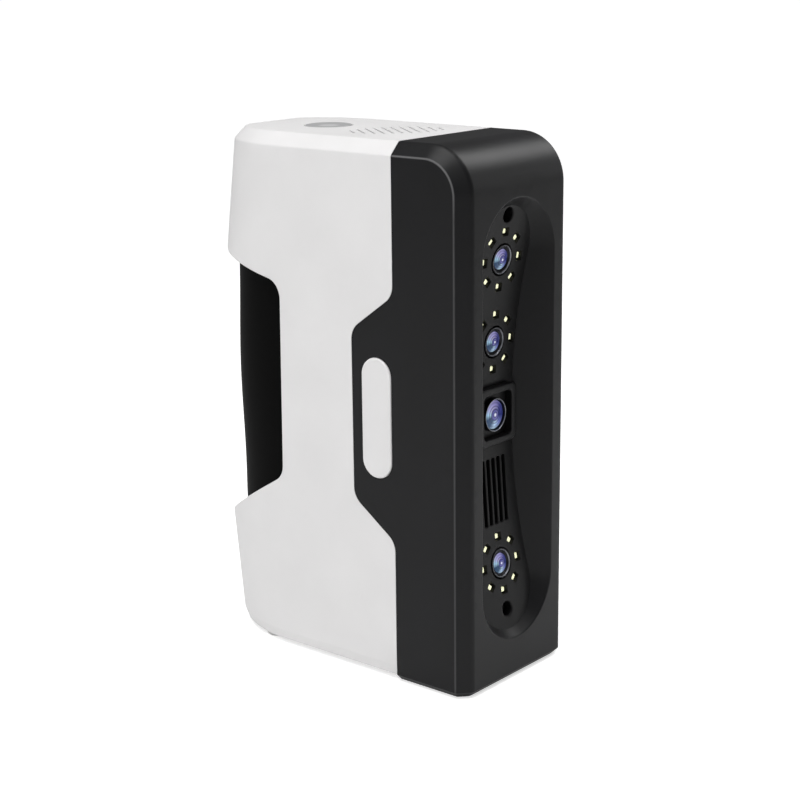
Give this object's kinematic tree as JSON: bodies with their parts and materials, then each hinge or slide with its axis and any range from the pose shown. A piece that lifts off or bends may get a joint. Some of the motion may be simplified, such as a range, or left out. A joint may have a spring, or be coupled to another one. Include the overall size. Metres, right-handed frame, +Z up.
{
  "type": "handheld 3d scanner",
  "caption": "Upright handheld structured-light scanner: black sensor face with cameras, lamp rings and projector in a hollow recess, white rear shell with a grip window, top button.",
  "frame": {"origin": "on the ground under the middle of the scanner's bounding box", "axes": "+Z up, -Y out of the sensor face, +X to the left of someone facing the sensor face"},
  "size_m": [0.0772, 0.1566, 0.2402],
  "materials": {
    "black_plastic": "moulded black plastic, fine satin grain",
    "white_plastic": "moulded white plastic, satin",
    "grip_rubber": "soft black rubber, smooth",
    "panel_plastic": "moulded black plastic, matt",
    "screw_steel": "black oxide screws",
    "spring_steel": "bright spring wire",
    "socket_steel": "black plated metal",
    "black_alloy": "black anodised alloy",
    "bare_alloy": "machined and blasted",
    "coated_glass": "polished, blue anti-reflection coating",
    "circuit_board": "solder resist over glass fibre",
    "lamp_plastic": "pale yellow lamp resin",
    "grey_plastic": "moulded grey plastic, satin",
    "foot_rubber": "pale grey rubber",
    "insert_brass": "turned brass"
  },
  "bodies": {
    "scanner": {"front_housing": "black_plastic", "rear_shell": "white_plastic", "grip_pad": "grip_rubber", "badge_left": "white_plastic", "badge_right": "white_plastic", "case_screws": "screw_steel", "sensor_panel": "panel_plastic", "panel_screws": "screw_steel", "camera_screws": "screw_steel", "projector_bezel": "black_plastic", "projector_barrel": "black_alloy", "projector_glass": "coated_glass", "light_engine": "black_alloy", "engine_screws": "screw_steel", "heat_sink": "bare_alloy", "optical_chassis": "bare_alloy", "chassis_screws": "screw_steel", "fan_frame": "black_plastic", "fan_screws": "screw_steel", "switch_body": "black_plastic", "switch_board": "circuit_board", "switch_screws": "screw_steel", "main_board": "circuit_board", "board_chips": "black_plastic", "board_screws": "screw_steel", "rear_feet": "foot_rubber", "tripod_insert": "insert_brass", "cable_socket": "socket_steel", "socket_pins": "insert_brass", "socket_nut": "socket_steel", "lamp_board_upper": "circuit_board", "lamps_upper": "lamp_plastic", "lens_barrel_upper": "black_alloy", "lens_glass_upper": "coated_glass", "lens_mount_upper": "black_plastic", "camera_board_upper": "circuit_board", "lamp_board_middle": "circuit_board", "lamps_middle": "lamp_plastic", "lens_barrel_middle": "black_alloy", "lens_glass_middle": "coated_glass", "lens_mount_middle": "black_plastic", "camera_board_middle": "circuit_board", "lamp_board_lower": "circuit_board", "lamps_lower": "lamp_plastic", "lens_barrel_lower": "black_alloy", "lens_glass_lower": "coated_glass", "lens_mount_lower": "black_plastic", "camera_board_lower": "circuit_board"},
    "fan": {"fan_rotor": "black_plastic"},
    "button": {"button_cap": "grey_plastic", "button_spring": "spring_steel", "switch_plunger": "black_plastic"}
  },
  "joints": [
    {"name": "fan_spin", "type": "hinge", "parent": "scanner", "child": "fan", "pos_m": [0, -0.0115, 0.23], "axis": [0, 0, 1], "continuous": true},
    {"name": "button_press", "type": "slide", "parent": "scanner", "child": "button", "axis": [0, 0, -1], "range_m": [0, 0.001], "stiffness_N_per_m": 600, "springref_m": -0.0006, "deforming": ["button_spring"]}
  ]
}
